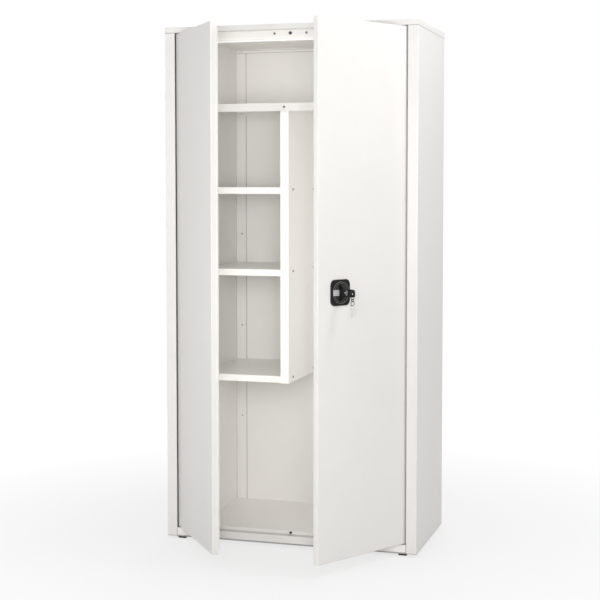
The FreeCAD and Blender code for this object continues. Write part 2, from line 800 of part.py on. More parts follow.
def hinge_arms(label, side):
    body = new_body(label)
    sign = "" if side > 0 else "-"
    low, high = "hinge_z - arm_thickness / 2", "hinge_z + arm_thickness / 2"
    eye = [many_sided(f"{sign}(hinge_x)", "hinge_y", "eye_radius"),
           (f"{sign}(hinge_x)", "hinge_y", "pin_radius + pin_clearance")]
    reach = "hinge_y + arm_reach"
    arm = on_side([
        ("hinge_x - arm_width / 2", "hinge_y + (eye_radius + pin_radius) / 2"),
        ("hinge_x + arm_width / 2", "hinge_y + (eye_radius + pin_radius) / 2"),
        ("hinge_x + arm_width / 2", f"{reach} - arm_width"),
        ("jamb - tab_thickness / 2", f"{reach} - arm_width"),
        ("jamb - tab_thickness / 2", reach),
        ("hinge_x - arm_width / 2", reach),
    ], side)
    middle = f"{reach} - arm_width / 2"
    tab = on_side(rectangle("jamb - tab_thickness", f"{middle} - tab_depth / 2",
                            "jamb", f"{middle} + tab_depth / 2"), side)
    parts = [
        add_solid(body, "XY_Plane", eye, low, high),
        add_solid(body, "XY_Plane", [arm], low, high),
        add_solid(body, "XY_Plane", [tab], "hinge_z - tab_height / 2", "hinge_z + tab_height / 2"),
    ]
    repeat_up(body, parts, "hinge_pitch", "hinge_count")
    return body


def hinge_clips(label, side):
    """Clips inside the door, each with its pin riveted between two ears."""
    body = new_body(label)
    sign = "" if side > 0 else "-"
    ear = on_side(rectangle("hinge_x - ear_length", "skin + ear_front_gap",
                            "door_edge - sheet - ear_front_gap", "hinge_y + ear_rear"), side)
    pin = (f"{sign}(hinge_x)", "hinge_y", "pin_radius")
    web_plate = on_side(rectangle("hinge_x - ear_length - ear_wall", "skin",
                                  "hinge_x - ear_length", "hinge_y + ear_rear"), side)
    foot_plate = on_side(rectangle("hinge_x - ear_length - ear_wall - clip_foot", "skin",
                                   "hinge_x - ear_length", "skin + ear_wall"), side)
    parts = [
        add_solid(body, "XY_Plane", [web_plate], "hinge_z - ear_end", "hinge_z + ear_end"),
        add_solid(body, "XY_Plane", [ear], "hinge_z + ear_start", "hinge_z + ear_end"),
        add_solid(body, "XY_Plane", [ear], "hinge_z - ear_end", "hinge_z - ear_start"),
        add_solid(body, "XY_Plane", [pin], "hinge_z - ear_start", "hinge_z + ear_start"),
        add_solid(body, "XY_Plane", [foot_plate], "hinge_z - clip_height / 2",
                  "hinge_z + clip_height / 2"),
    ]
    repeat_up(body, parts, "hinge_pitch", "hinge_count")
    return body


left_hinge_arms = hinge_arms("left_hinge_arms", -1)
right_hinge_arms = hinge_arms("right_hinge_arms", 1)

# Doors: a pan with return flanges, slotted where the hinge arms come in


def door_panel(label, side):
    body = new_body(label)
    sign = "" if side > 0 else "-"
    outline = on_side(rectangle("door_middle", "door_bottom", "door_edge", "door_top"), side)
    add_solid(body, "XZ_Plane", [outline], "front", "door_back")
    middle = f"{sign}((door_middle + door_edge) / 2)"
    halfway = "(door_bottom + door_top) / 2"
    dress(body, "Fillet", "door_fold", [
        (middle, "front", "door_top"), (middle, "front", "door_bottom"),
        (f"{sign}(door_edge)", "front", halfway), (f"{sign}(door_middle)", "front", halfway)])
    hollow_out(body, (middle, "door_back", halfway))
    opening = on_side(rectangle("door_middle + door_return", "door_bottom + door_return",
                                "door_edge - door_return", "door_top - door_return"), side)
    add_solid(body, "XZ_Plane", [outline, opening], "door_back - sheet", "door_back")
    slot = on_side(rectangle("hinge_x - arm_width / 2 - slot_play", "skin + slot_front_gap",
                             "door_edge + overrun", "door_back + overrun"), side)
    first = cut_away(body, "XY_Plane", [slot],
                     "hinge_z - arm_thickness / 2 - slot_play",
                     "hinge_z + arm_thickness / 2 + slot_play")
    repeat_up(body, [first], "hinge_pitch", "hinge_count")
    return body


def door_stiffener(label, side):
    body = new_body(label)
    middle = "door_edge - stiffener_from_hinge"
    start, end = f"{middle} - stiffener_width / 2", f"{middle} + stiffener_width / 2"
    path = on_side([
        (f"{start} - stiffener_flange", "skin"),
        (start, "skin"),
        (start, "door_back - 2 * sheet"),
        (end, "door_back - 2 * sheet"),
        (end, "skin"),
        (f"{end} + stiffener_flange", "skin"),
    ], side)
    add_solid(body, "XY_Plane", [folded(path, side, rounds=[])],
              "door_bottom + stiffener_end_gap", "door_top - stiffener_end_gap")
    return body


left_door_panel = door_panel("left_door_panel", -1)
left_door_stiffener = door_stiffener("left_door_stiffener", -1)
left_hinge_clips = hinge_clips("left_hinge_clips", -1)

# The strip on the left door that laps behind the right door

door_stop_strip = new_body("door_stop_strip")
STRIP = [
    ("-(door_middle) - stop_strip_land", "door_back"),
    ("-(door_middle)", "door_back"),
    ("-(door_middle) + stop_strip_joggle", "door_back + stop_strip_joggle"),
    ("-(door_middle) + stop_strip_lap", "door_back + stop_strip_joggle"),
    ("-(door_middle) + stop_strip_lap", "door_back + stop_strip_joggle + stop_strip_wall"),
    ("-(door_middle)", "door_back + stop_strip_joggle + stop_strip_wall"),
    ("-(door_middle) - stop_strip_joggle", "door_back + stop_strip_wall"),
    ("-(door_middle) - stop_strip_land", "door_back + stop_strip_wall"),
]
add_solid(door_stop_strip, "XY_Plane", [STRIP], "door_bottom + stop_strip_end_gap",
          "door_top - stop_strip_end_gap")

# Right door, with holes for the lock's spindle and rods

right_door_panel = door_panel("right_door_panel", 1)
cut_away(right_door_panel, "XZ_Plane",
         [("lock_x", "lock_level", "spindle_radius + skin_hole_play")],
         "front - overrun", "skin + sheet")
ROD_HOLE = rectangle("lock_x - rod_side - rod_play", "rack_front - rod_play",
                     "lock_x + rod_side + rod_play", "rack_rear + rod_play")
cut_away(right_door_panel, "XY_Plane", [ROD_HOLE], "door_top - 2 * sheet", "door_top + overrun")
cut_away(right_door_panel, "XY_Plane", [ROD_HOLE], "door_bottom - overrun",
         "door_bottom + 2 * sheet")
right_door_stiffener = door_stiffener("right_door_stiffener", 1)
right_hinge_clips = hinge_clips("right_hinge_clips", 1)

# Lock plate with its round collar and the seat of the plain pad

lock_plate = new_body("lock_plate")
HALF_PLATE = "plate_size / 2"
add_solid(lock_plate, "XZ_Plane",
          [rounded_rectangle(f"lock_x - {HALF_PLATE}", f"lock_level - {HALF_PLATE}",
                             f"lock_x + {HALF_PLATE}", f"lock_level + {HALF_PLATE}",
                             "plate_corner")],
          "plate_face", "front")
dress(lock_plate, "Chamfer", "plate_edge", [("lock_x", "plate_face", f"lock_level + {HALF_PLATE}")])
add_solid(lock_plate, "XZ_Plane",
          [many_sided("lock_x", "lock_level", "collar_radius", 40),
           many_sided("lock_x", "lock_level", "collar_radius - collar_wall", 40)],
          "collar_face", "plate_face")
add_solid(lock_plate, "XZ_Plane",
          [many_sided("lock_x", "lock_level", "boss_radius", 32),
           many_sided("lock_x", "lock_level", "boss_radius - boss_wall", 32)],
          "collar_face", "plate_face")
add_solid(lock_plate, "XZ_Plane",
          [rectangle("pad_x - pad_width / 2 - seat_margin", "lock_level - pad_height / 2 - seat_margin",
                     "lock_x", "lock_level + pad_height / 2 + seat_margin")],
          "collar_face", "plate_face")
cut_away(lock_plate, "XZ_Plane", [("lock_x", "lock_level", "spindle_radius + spindle_clearance")],
         "collar_face - overrun", "front")

plain_pad = new_body("plain_pad")
add_solid(plain_pad, "XZ_Plane",
          [rounded_rectangle("pad_x - pad_width / 2", "lock_level - pad_height / 2",
                             "pad_x + pad_width / 2", "lock_level + pad_height / 2",
                             "pad_corner")],
          "collar_face - pad_wall", "collar_face")

# Lock case behind the skin: a hat section that carries the spindle's tail

CASE_PATH = [
    ("lock_x - case_half_width - case_flange", "skin"),
    ("lock_x - case_half_width", "skin"),
    ("lock_x - case_half_width", "case_back"),
    ("lock_x + case_half_width", "case_back"),
    ("lock_x + case_half_width", "skin"),
    ("lock_x + case_half_width + case_flange", "skin"),
]
lock_case = new_body("lock_case")
add_solid(lock_case, "XY_Plane", [folded(CASE_PATH, 1, "case_wall", [2, 3])],
          "lock_level - case_length / 2", "lock_level + case_length / 2")
cut_away(lock_case, "XZ_Plane",
         [("lock_x", "lock_level", "spindle_tail_radius + spindle_clearance")],
         "case_back - sheet", "case_back + case_wall + sheet")

# Guides that hold the rods against the door

GUIDE_INNER = "(guide_half - guide_wall)"
GUIDE_PATH = [
    (f"lock_x - {GUIDE_INNER} - guide_flange", "skin"),
    (f"lock_x - {GUIDE_INNER}", "skin"),
    (f"lock_x - {GUIDE_INNER}", "guide_back - guide_wall"),
    (f"lock_x + {GUIDE_INNER}", "guide_back - guide_wall"),
    (f"lock_x + {GUIDE_INNER}", "skin"),
    (f"lock_x + {GUIDE_INNER} + guide_flange", "skin"),
]
rod_guides = new_body("rod_guides")
for level in ("door_top - guide_end_gap", "door_top - guide_end_gap - guide_pitch",
              "door_bottom + guide_end_gap", "door_bottom + guide_end_gap + guide_pitch"):
    add_solid(rod_guides, "XY_Plane", [folded(GUIDE_PATH, 1, "guide_wall", [])],
              f"{level} - guide_length / 2", f"{level} + guide_length / 2")

# Turn handle: hub and wing, bored for the lock barrel

turn_handle = new_body("turn_handle")
WING = [
    ("grip_base", "lock_level - grip_length / 2"),
    ("grip_base - grip_end_height", "lock_level - grip_length / 2"),
    ("grip_face", "lock_level - grip_crown / 2"),
    ("grip_face", "lock_level + grip_crown / 2"),
    ("grip_base - grip_end_height", "lock_level + grip_length / 2"),
    ("grip_base", "lock_level + grip_length / 2"),
]
add_solid(turn_handle, "YZ_Plane", [WING], "lock_x - grip_width / 2", "lock_x + grip_width / 2")
SLOPE = "(grip_base - grip_end_height + grip_face) / 2"
SLOPE_OUT = "(grip_length + grip_crown) / 4"
wing_edges = []
for cheek in ("lock_x - grip_width / 2", "lock_x + grip_width / 2"):
    wing_edges.append((cheek, "grip_face", "lock_level"))
    wing_edges.append((cheek, SLOPE, f"lock_level - {SLOPE_OUT}"))
    wing_edges.append((cheek, SLOPE, f"lock_level + {SLOPE_OUT}"))
dress(turn_handle, "Fillet", "grip_edge", wing_edges)
add_solid(turn_handle, "XZ_Plane", [("lock_x", "lock_level", "hub_radius")],
          "grip_base", "hub_face")
cut_away(turn_handle, "XZ_Plane", [("lock_x", "lock_level", "barrel_radius + key_play")],
         "grip_face - overrun", "grip_face - barrel_proud + barrel_length")

handle_spindle = new_body("handle_spindle")
add_solid(handle_spindle, "XZ_Plane", [("lock_x", "lock_level", "spindle_radius")],
          "hub_face", "rack_centre - pinion_width / 2")
add_solid(handle_spindle, "XZ_Plane", [("lock_x", "lock_level", "spindle_tail_radius")],
          "rack_centre - pinion_width / 2", "case_back + case_wall + sheet / 2")

# Pinion: a disc with a tooth gap cut and repeated round the spindle


def centred_sketch(body, level):
    """A sketch across the lock's axis, with the axis at its origin."""
    sketch = add_sketch(body, "XZ_Plane", level)
    sketch.setExpression("AttachmentOffset.Base.x", formula("lock_x"))
    sketch.setExpression("AttachmentOffset.Base.y", formula("lock_level"))
    return sketch


drive_pinion = new_body("drive_pinion")
disc = centred_sketch(drive_pinion, "rack_centre + pinion_width / 2")
draw(disc, ("0", "0", "tip_radius"))
draw(disc, ("0", "0", "spindle_tail_radius + key_play"))
pinion_disc = drive_pinion.newObject("PartDesign::Pad", "drive_pinion_pad")
pinion_disc.Profile = disc
pinion_disc.setExpression("Length", formula("pinion_width"))
drive_pinion.Tip = pinion_disc
GAP = [
    ("root_radius", "-(tooth_pitch * gap_root_share)"),
    ("pitch_radius", "-(tooth_pitch / 4)"),
    ("tip_radius + tooth_tip_gap", "-(tooth_pitch * gap_tip_share)"),
    ("tip_radius + tooth_tip_gap", "tooth_pitch * gap_tip_share"),
    ("pitch_radius", "tooth_pitch / 4"),
    ("root_radius", "tooth_pitch * gap_root_share"),
]
gap = centred_sketch(drive_pinion, "rack_centre - pinion_width / 2")
draw(gap, GAP)
tooth_gap = drive_pinion.newObject("PartDesign::Pocket", "drive_pinion_cut")
tooth_gap.Profile = gap
tooth_gap.setExpression("Length", formula("pinion_width"))
drive_pinion.Tip = tooth_gap
doc.recompute()
teeth = drive_pinion.newObject("PartDesign::PolarPattern", "drive_pinion_teeth")
teeth.Originals = [tooth_gap]
teeth.Axis = (gap, ["N_Axis"])
teeth.Angle = 360
teeth.setExpression("Occurrences", formula("tooth_count"))
drive_pinion.Tip = teeth

# Lock rods: a flat bar, a jog past the pinion and a rack on the pinion's side


def lock_rod(label, turn, tip):
    """The upper rod for turn 1; for turn -1 the same half a turn round the spindle."""
    body = new_body(label)
    flip = "" if turn > 0 else "-"
    bar = [
        ("-(rack_edge)", "-(rack_end)"),
        ("-(rack_line)", "-(rack_end)"),
        ("-(rack_line)", "jog_start"),
        ("rod_side", "jog_start"),
        ("rod_side", f"{flip}(({tip}) - lock_level)"),
        ("-(rod_side)", f"{flip}(({tip}) - lock_level)"),
        ("-(rod_side)", "jog_end"),
        ("-(rack_edge)", "jog_end"),
    ]
    lead = "tooth_pitch * rack_tooth_lead"
    tooth = [
        ("-(rack_line)", f"{lead} - tooth_half - flank_share * (rack_line - pitch_radius)"),
        ("-(rack_tip)", f"{lead} - tooth_half + flank_share * tooth_module"),
        ("-(rack_tip)", f"{lead} + tooth_half - flank_share * tooth_module"),
        ("-(rack_line)", f"{lead} + tooth_half + flank_share * (rack_line - pitch_radius)"),
    ]
    pads = []
    for outline in (bar, tooth):
        sketch = centred_sketch(body, "rack_rear")
        draw(sketch, [(f"{flip}({a})", f"{flip}({b})") for a, b in outline])
        pad = body.newObject("PartDesign::Pad", label + "_pad")
        pad.Profile = sketch
        pad.setExpression("Length", formula("rod_thickness"))
        body.Tip = pad
        pads.append(pad)
    doc.recompute()
    pattern = repeat_up(body, pads[1:], "tooth_pitch", "rack_teeth")
    pattern.Reversed = turn > 0
    return body


upper_lock_rod = lock_rod("upper_lock_rod", 1, "upper_tip")
lower_lock_rod = lock_rod("lower_lock_rod", -1, "lower_tip")

# Barrel, core and key

lock_barrel = new_body("lock_barrel")
add_solid(lock_barrel, "XZ_Plane",
          [("lock_x", "lock_level", "barrel_radius"),
           ("lock_x", "lock_level", "core_radius + key_play")],
          "grip_face - barrel_proud", "grip_face - barrel_proud + barrel_length")
dress(lock_barrel, "Chamfer", "barrel_proud / 4",
      [("lock_x", "grip_face - barrel_proud", "lock_level + barrel_radius")])

lock_core = new_body("lock_core")
KEYWAY = rectangle("lock_x - key_wall / 2 - key_play", "lock_level - key_width / 2 - key_play",
                   "lock_x + key_wall / 2 + key_play", "lock_level + key_width / 2 + key_play")
add_solid(lock_core, "XZ_Plane", [("lock_x", "lock_level", "core_radius")],
          "core_face", "grip_face - barrel_proud + barrel_length - core_end_play")
cut_away(lock_core, "XZ_Plane", [KEYWAY], "core_face - overrun", "core_face + key_depth")

key_blade = new_body("key_blade")
add_solid(key_blade, "XZ_Plane",
          [rectangle("lock_x - key_wall / 2", "lock_level - key_width / 2",
                     "lock_x + key_wall / 2", "lock_level + key_width / 2")],
          "key_head_start", "core_face + key_depth")

key_head = new_body("key_head")
add_solid(key_head, "YZ_Plane",
          [rounded_rectangle("key_head_end", "lock_level - key_head_width / 2",
                             "key_head_start", "lock_level + key_head_width / 2",
                             "key_head_corner"),
           ("key_hole_y", "key_hole_level", "key_hole_radius")],
          "lock_x - key_head_wall / 2", "lock_x + key_head_wall / 2")

# Rings and the spare key, hanging


def ring(label, radius, level, role):
    """A ring of flat wire that stands across the plane of its role."""
    body = new_body(label)
    centre = ("lock_x", level) if role == "XZ_Plane" else ("key_hole_y", level)
    middle = "key_hole_y" if role == "XZ_Plane" else "lock_x"
    add_solid(body, role, [many_sided(*centre, f"{radius} + ring_wire"),
                           many_sided(*centre, f"{radius} - ring_wire")],
              f"{middle} - ring_half_width", f"{middle} + ring_half_width")
    return body


upper_ring = ring("upper_ring", "ring_radius", "ring_level", "XZ_Plane")
middle_link = ring("middle_link", "link_radius", "link_level", "YZ_Plane")
lower_ring = ring("lower_ring", "ring_radius", "lower_ring_level", "XZ_Plane")

spare_key = new_body("spare_key")
add_solid(spare_key, "YZ_Plane",
          [rounded_rectangle("key_hole_y - spare_head_width / 2", "spare_shoulder",
                             "key_hole_y + spare_head_width / 2", "spare_top",
                             "spare_head_corner"),
           ("key_hole_y", "spare_hole_level", "spare_hole_radius")],
          "lock_x - spare_wall / 2", "lock_x + spare_wall / 2")
add_solid(spare_key, "YZ_Plane",
          [[("key_hole_y - spare_blade_width / 2", "spare_shoulder + sheet"),
            ("key_hole_y - spare_blade_width / 2",
             "spare_shoulder - spare_blade_length + spare_blade_width / 2"),
            ("key_hole_y", "spare_shoulder - spare_blade_length"),
            ("key_hole_y + spare_blade_width / 2",
             "spare_shoulder - spare_blade_length + spare_blade_width / 2"),
            ("key_hole_y + spare_blade_width / 2", "spare_shoulder + sheet")]],
          "lock_x - spare_wall / 2", "lock_x + spare_wall / 2")

# The doors and all that rides on them, swung open about their pins

LEFT_DOOR = [left_door_panel, left_door_stiffener, left_hinge_clips, door_stop_strip]
RIGHT_DOOR = [right_door_panel, right_door_stiffener, right_hinge_clips, lock_plate, plain_pad, lock_case, rod_guides, turn_handle, handle_spindle,
              drive_pinion, upper_lock_rod, lower_lock_rod, lock_barrel, lock_core, key_blade,
              key_head, upper_ring, middle_link, lower_ring, spare_key]


def swing_open(bodies, side, angle):
    pin = FreeCAD.Vector(side * value("hinge_x"), value("hinge_y"), 0)
    turn = FreeCAD.Rotation(FreeCAD.Vector(0, 0, 1), side * value(angle))
    door = FreeCAD.Placement(pin, turn) * FreeCAD.Placement(-pin, FreeCAD.Rotation())
    for body in bodies:
        body.Placement = door * body.Placement


swing_open(LEFT_DOOR, -1, "left_door_angle")
swing_open(RIGHT_DOOR, 1, "right_door_angle")

# Tests, then one file for each sub-part

doc.recompute()
failed = [item.Label for item in doc.Objects
          if "Invalid" in item.State or "Error" in item.State]
if failed:
    raise RuntimeError("not built: " + ", ".join(failed))
idle = [item.Label for item in doc.Objects if item.TypeId == "PartDesign::Pocket"
        and item.Shape.Volume >= item.BaseFeature.Shape.Volume]
if idle:
    raise RuntimeError("cuts nothing: " + ", ".join(idle))

sub_parts = [item for item in doc.Objects if item.TypeId == "PartDesign::Body"]
for item in sub_parts:
    if item.Shape.isNull() or not item.Shape.isValid():
        raise RuntimeError(f"{item.Label} has no sound shape")
for item in sub_parts:
    item.Shape.exportStep(f"parts/{item.Label}.step")
print(len(sub_parts), "sub-parts")
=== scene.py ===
import json
import math

import bpy
from bpy.props import FloatProperty, FloatVectorProperty, PointerProperty
from mathutils import Matrix, Vector


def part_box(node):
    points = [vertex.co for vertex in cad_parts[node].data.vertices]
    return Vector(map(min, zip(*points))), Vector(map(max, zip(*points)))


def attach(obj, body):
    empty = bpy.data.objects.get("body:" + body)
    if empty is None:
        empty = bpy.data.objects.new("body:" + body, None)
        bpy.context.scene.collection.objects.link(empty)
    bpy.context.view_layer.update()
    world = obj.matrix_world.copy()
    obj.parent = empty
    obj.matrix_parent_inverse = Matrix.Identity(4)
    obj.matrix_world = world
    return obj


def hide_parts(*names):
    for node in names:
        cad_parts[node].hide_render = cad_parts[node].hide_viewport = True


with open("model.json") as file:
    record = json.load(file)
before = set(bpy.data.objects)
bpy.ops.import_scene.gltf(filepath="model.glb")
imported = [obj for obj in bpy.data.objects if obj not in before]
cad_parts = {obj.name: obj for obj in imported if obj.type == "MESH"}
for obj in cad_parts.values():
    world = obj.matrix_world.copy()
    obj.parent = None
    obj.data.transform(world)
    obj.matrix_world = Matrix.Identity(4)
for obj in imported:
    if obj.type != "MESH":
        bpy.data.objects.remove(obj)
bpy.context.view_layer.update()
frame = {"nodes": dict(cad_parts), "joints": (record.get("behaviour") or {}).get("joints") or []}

bl_info = {
    "name": "Steel utility cabinet",
    "version": (1, 0, 0),
    "blender": (4, 5, 0),
    "location": "View3D > Sidebar > Cabinet",
    "description": "Powder coat, hardware and studio for a folded-steel utility cabinet",
    "category": "Object",
}


# Sizes and colours


def length(name, description, default):
    return FloatProperty(name=name, description=description, default=default,
                         unit="LENGTH", precision=5)


def lengths(name, description, *default):
    return FloatVectorProperty(name=name, description=description, default=default,
                               size=len(default), unit="LENGTH", precision=5)


def colour(name, description, default):
    return FloatVectorProperty(name=name, description=description, default=default,
                               subtype="COLOR", size=3, min=0, max=1)


def share(name, description, default):
    return FloatProperty(name=name, description=description, default=default,
                         subtype="FACTOR", min=0, max=1)


def watts(name, description, default):
    return FloatProperty(name=name, description=description, default=default, unit="POWER")


def degrees(name, description, default):
    return FloatProperty(name=name, description=description, default=math.radians(default),
                         unit="ROTATION")


class CoatSettings(bpy.types.PropertyGroup):
    shell: colour("Shell", "Powder coat of the sides and the cap", (0.83, 0.812, 0.785))
    # Painted light: the inside tone is a paler copy of the same white coat. It stands in for the
    # light reaching the rail, sill, ceiling, lining, back, divider and shelves.
    inside: colour("Inside", "Powder coat of the rail, sill, lining, divider and shelves",
                   (0.93, 0.91, 0.88))
    doors: colour("Doors", "Powder coat of both doors", (0.835, 0.818, 0.79))
    gloss: share("Roughness", "Roughness of the powder coat", 0.36)
    scuff: share("Scuffs", "How far shelves and floor are rubbed grey", 0.12)
    # Painted shade: this dark colour stands in for the shadow in seams, gaps, rebates and
    # corners; it is not dust or grease.
    painted_shade: colour("Grime", "Dust and grease in the seams and rebates", (0.10, 0.09, 0.075))
    waves: length("Waves", "Depth of the slow waves in the sheet", 0.0016)
    peel: length("Orange peel", "Depth of the coat's orange peel", 0.00009)


# Where the lines and strips of painted shade lie along seams, gaps and corners.
class SeamSettings(bpy.types.PropertyGroup):
    half: length("Half width", "Half the width of the dark line along a seam", 0.0009)
    cap_lip: length("Cap lip", "From the cap's top to the seam below its lip", 0.0194)
    jamb_strip: length("Jamb strip", "From the jamb to the middle of its shadow strip", 0.0065)
    strip_half: length("Strip half width", "Half the width of the shadow strip", 0.004)
    strip_depth: length("Strip depth", "From the rail's front back to the strip", 0.025)
    rail_hem: length("Rail hem", "Height of the rail's hem", 0.0075)
    ceiling_hem: length("Ceiling hem", "Height of the ceiling lip's hem", 0.0105)
    corner: length("Corner", "From the back to the dark line on the lining", 0.0035)
    flange: length("Flange", "Width of the lining's flange on the back", 0.0388)


class MetalSettings(bpy.types.PropertyGroup):
    plated: colour("Zinc plate", "Hinges, rods and lock case", (0.60, 0.60, 0.59))
    screw: colour("Screws", "Screw heads", (0.20, 0.19, 0.17))
    chrome: colour("Chrome", "Lock barrel, core and key blade", (0.27, 0.27, 0.27))
    key: colour("Key steel", "Spare key", (0.76, 0.75, 0.73))
    wire: colour("Ring wire", "Dark bronze wire of the key rings", (0.022, 0.014, 0.011))
    drawing: length("Drawing lines", "Depth of the drawing lines in the plate", 0.00004)
    hairlines: length("Hairlines", "Depth of the hairlines on polished metal", 0.00003)


class MouldedSettings(bpy.types.PropertyGroup):
    lock: colour("Lock", "Black moulded lock plate and handle", (0.008, 0.008, 0.008))
    # Painted highlight: the beads' grey stands in for the sheen along them; they are the same
    # black moulding as the plate.
    bead: colour("Beads", "Polished beads round the lock", (0.13, 0.125, 0.12))
    key_grip: colour("Key grip", "Black grip of the key", (0.006, 0.006, 0.006))
    pad: colour("Pad", "Plain grey pad beside the handle", (0.50, 0.50, 0.49))
    buffer: colour("Buffers", "Rubber buttons behind the doors", (0.07, 0.07, 0.07))
    foot: colour("Feet", "Black levelling feet", (0.025, 0.025, 0.026))
    dust: colour("Dust", "Dust on the mouldings", (0.16, 0.16, 0.155))
    grain: length("Grain", "Depth of the mouldings' grain", 0.00008)


class ScrewSettings(bpy.types.PropertyGroup):
    head_radius: length("Head radius", "Radius of a dome head", 0.0042)
    head_height: length("Head height", "Height of a dome head", 0.0022)
    recess: length("Recess", "Length of the cross recess", 0.0046)
    recess_width: length("Recess width", "Width of each arm of the recess", 0.0011)
    recess_depth: length("Recess depth", "Depth of the cross recess", 0.0011)
    dome: share("Dome", "Share of a head's height that is rounded", 0.85)
    spin: FloatProperty(name="Spin", description="Turn from one recess to the next",
                        default=0.7, unit="ROTATION")
    sheet: length("Sheet", "Thickness of the sheet below a head", 0.001)
    below: length("Below", "From a shelf's top to its screws", 0.007)
    depths: lengths("Depths", "From the shelves' front to their screws", 0.047, 0.299)
    hat_depth: length("Hat depth", "From the shelves' front to the hat shelf's rear screw",
                      0.346)
    flange_inset: length("Flange inset", "From the lining to the screws in its flange", 0.022)
    divider_inset: length("Divider inset", "From the divider's face to its screws", 0.016)
    wall_levels: lengths("Wall levels", "Heights of the screws in the lining's flange",
                         0.373, 0.721, 1.069)
    hat_levels: lengths("Hat levels", "Heights of the screws in the hat compartment's back",
                        1.756, 1.524)
    lip_level: length("Lip level", "Height of the screw in the hat shelf's lip", 1.5205)
    rail_depth: length("Rail depth", "From the rail's front back to its screws", 0.0236)
    rail_level: length("Rail level", "Height of the screws in the rail", 1.770)
    rail_spread: length("Rail spread", "From the middle to each screw in the rail", 0.057)


class LockSettings(bpy.types.PropertyGroup):
    grip_edge: length("Grip edge", "Rounding of the turning grip", 0.0016)
    key_edge: length("Key edge", "Rounding of the key's grip", 0.0008)
    wire: length("Ring wire", "Radius of the key rings' wire", 0.001)
    ring_inset: length("Ring inset", "From a ring's outside to the middle of its wire", 0.0009)
    bead: length("Bead", "Radius of the beads' section", 0.0011)
    plate_face: length("Plate face", "From the handle's pivot to the plate's face", 0.016)
    low_beads: lengths("Low beads", "Radii of the beads on the plate", 0.0345, 0.0215)
    high_beads: lengths("High beads", "Radii of the beads on the collar and boss",
                        0.0295, 0.0153)
    bead_step: length("Bead step", "From the low beads up to the high ones", 0.0013)


class StudioSettings(bpy.types.PropertyGroup):
    floor: colour("Floor", "Colour of the studio floor", (0.70, 0.70, 0.70))
    floor_size: length("Floor size", "Side of the studio floor", 60)
    clear_reach: length("Clear reach", "Scale of the floor's fade to white", 4)
    world: share("World", "Strength of the light from all round", 0.39)
    key_power: watts("Key lamp", "Watts of the lamp before the right door", 33.5)
    front_power: watts("Front lamp", "Watts of the lamp beside the camera", 13.0)
    door_power: watts("Door lamp", "Watts of the lamp between the doors", 3.3)
    side_power: watts("Side lamp", "Watts of the high lamp on the right", 21.0)
    fill_power: watts("Fill lamp", "Watts of the lamp on the left", 29.0)
    strip_power: watts("Strip lamp", "Watts of the strip beside the left door", 1.5)
    doorway_power: watts("Doorway lamp", "Watts of the soft panel in the doorway", 0.98)
    bay_power: watts("Bay lamp", "Watts of the soft panel turned to the divider", 0.62)
    hat_power: watts("Hat lamp", "Watts of the soft panel before the hat compartment", 0.28)
    rear_power: watts("Rear lamp", "Watts of the lamp behind the cabinet", 85.0)
    camera_place: lengths("Camera place", "Where the camera stands", 1.3683, -4.6022, 1.2483)
    camera_turn: degrees("Camera turn", "Heading of the camera", 16.622)
    camera_tilt: degrees("Camera tilt", "Tilt of the camera downwards", 3.303)
    camera_reach: length("Camera reach", "How far the camera sees", 200)
    camera_lens: FloatProperty(name="Lens", description="Focal length in millimetres",
                               default=80.573, unit="CAMERA")
    camera_sensor: FloatProperty(name="Sensor", description="Sensor width in millimetres",
                                 default=36, unit="CAMERA")
    shift_x: FloatProperty(name="Shift across", description="Sideways shift of the lens",
                           default=-0.0095, precision=4)
    shift_y: FloatProperty(name="Shift up", description="Vertical shift of the lens",
                           default=-0.060, precision=4)


# Where each lamp stands, where it is aimed, its width, and its height if it is a rectangle
LAMPS = {
    "key": ((1.0, -3.4, 1.3), (0, 0, 1.0), 1.2, None),
    "front": ((1.25, -4.3, 1.25), (0, 0, 1.0), 1.0, None),
    "door": ((0.15, -2.0, 1.3), (-0.1, 0, 1.0), 0.6, None),
    "side": ((1.7, -0.5, 2.7), (0.45, 0, 1.5), 0.7, None),
    "fill": ((-3.2, -3.5, 2.2), (0, 0, 0.9), 2.4, None),
    "strip": ((-0.55, -1.5, 1.1), (-0.25, -0.4, 1.1), 0.3, 1.4),
    "doorway": ((0.05, -0.212, 0.96), (0.05, 0.2, 0.96), 0.76, 1.08),
    "bay": ((0.30, -0.12, 0.80), (0.0, 0.08, 0.80), 0.20, 1.42),
    "hat": ((0.05, -0.212, 1.65), (0.05, 0.2, 1.65), 0.76, 0.20),
    "rear": ((-0.6, 4.6, 2.3), (0, 0, 0.9), 2.4, None),
}

# Which solids each finish coats
COATS = {
    "side": "left_side_panel right_side_panel",
    "cap": "top_cap",
    "sill": "bottom_sill",
    "rail": "top_front_rail",
    "ceiling": "ceiling_panel",
    "lining": "inner_side_wall",
    "back": "back_panel",
    "inside": "shelf_divider divider_brackets",
    "shelf": "hat_shelf upper_shelf middle_shelf lower_shelf floor_panel",
    "door": "left_door_panel right_door_panel left_door_stiffener right_door_stiffener "
            "door_stop_strip",
    "zinc": "left_hinge_arms right_hinge_arms left_hinge_clips right_hinge_clips lock_case "
            "rod_guides handle_spindle drive_pinion upper_lock_rod lower_lock_rod",
    "lock": "lock_plate turn_handle",
    "pad": "plain_pad",
    "chrome": "lock_barrel lock_core key_blade",
    "key": "spare_key",
    "grip": "key_head",
    "wire": "upper_ring middle_link lower_ring",
    "rubber": "upper_buffer lower_buffer",
    "foot": "front_left_foot front_right_foot rear_left_foot rear_right_foot",
}


# Shader maths


